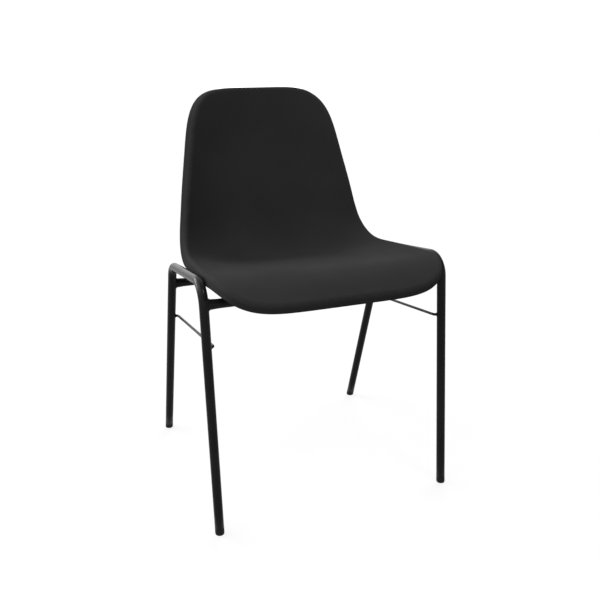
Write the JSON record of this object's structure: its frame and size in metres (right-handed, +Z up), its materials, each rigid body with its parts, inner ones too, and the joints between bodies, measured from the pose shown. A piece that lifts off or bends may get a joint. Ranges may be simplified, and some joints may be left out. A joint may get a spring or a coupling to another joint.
{
  "type": "stacking chair",
  "caption": "Stacking chair with a one-piece moulded bucket shell on a bent tube frame with slim side rods and plain glides.",
  "frame": {"origin": "on the floor under the centre of the chair's overall box", "axes": "+Z up, +Y towards the back of the chair, +X to the right as the chair is seen from the front"},
  "size_m": [0.456, 0.4708, 0.7165],
  "materials": {
    "shell_plastic": "finely grained moulded polypropylene, satin",
    "frame_paint": "satin black powder coat",
    "glide_plastic": "moulded polyethylene",
    "zinc_steel": "zinc plated",
    "insert_brass": "turned"
  },
  "bodies": {
    "root": {"seat_shell": "shell_plastic", "left_side_frame": "frame_paint", "right_side_frame": "frame_paint", "front_crossbar": "frame_paint", "rear_crossbar": "frame_paint", "left_stacking_rod": "frame_paint", "right_stacking_rod": "frame_paint", "front_left_glide": "glide_plastic", "front_right_glide": "glide_plastic", "rear_left_glide": "glide_plastic", "rear_right_glide": "glide_plastic", "front_left_seat_screw": "zinc_steel", "front_right_seat_screw": "zinc_steel", "rear_left_seat_screw": "zinc_steel", "rear_right_seat_screw": "zinc_steel", "front_left_saddle_washer": "glide_plastic", "front_right_saddle_washer": "glide_plastic", "rear_left_saddle_washer": "glide_plastic", "rear_right_saddle_washer": "glide_plastic", "front_left_insert": "insert_brass", "front_right_insert": "insert_brass", "rear_left_insert": "insert_brass", "rear_right_insert": "insert_brass"}
  },
  "joints": []
}
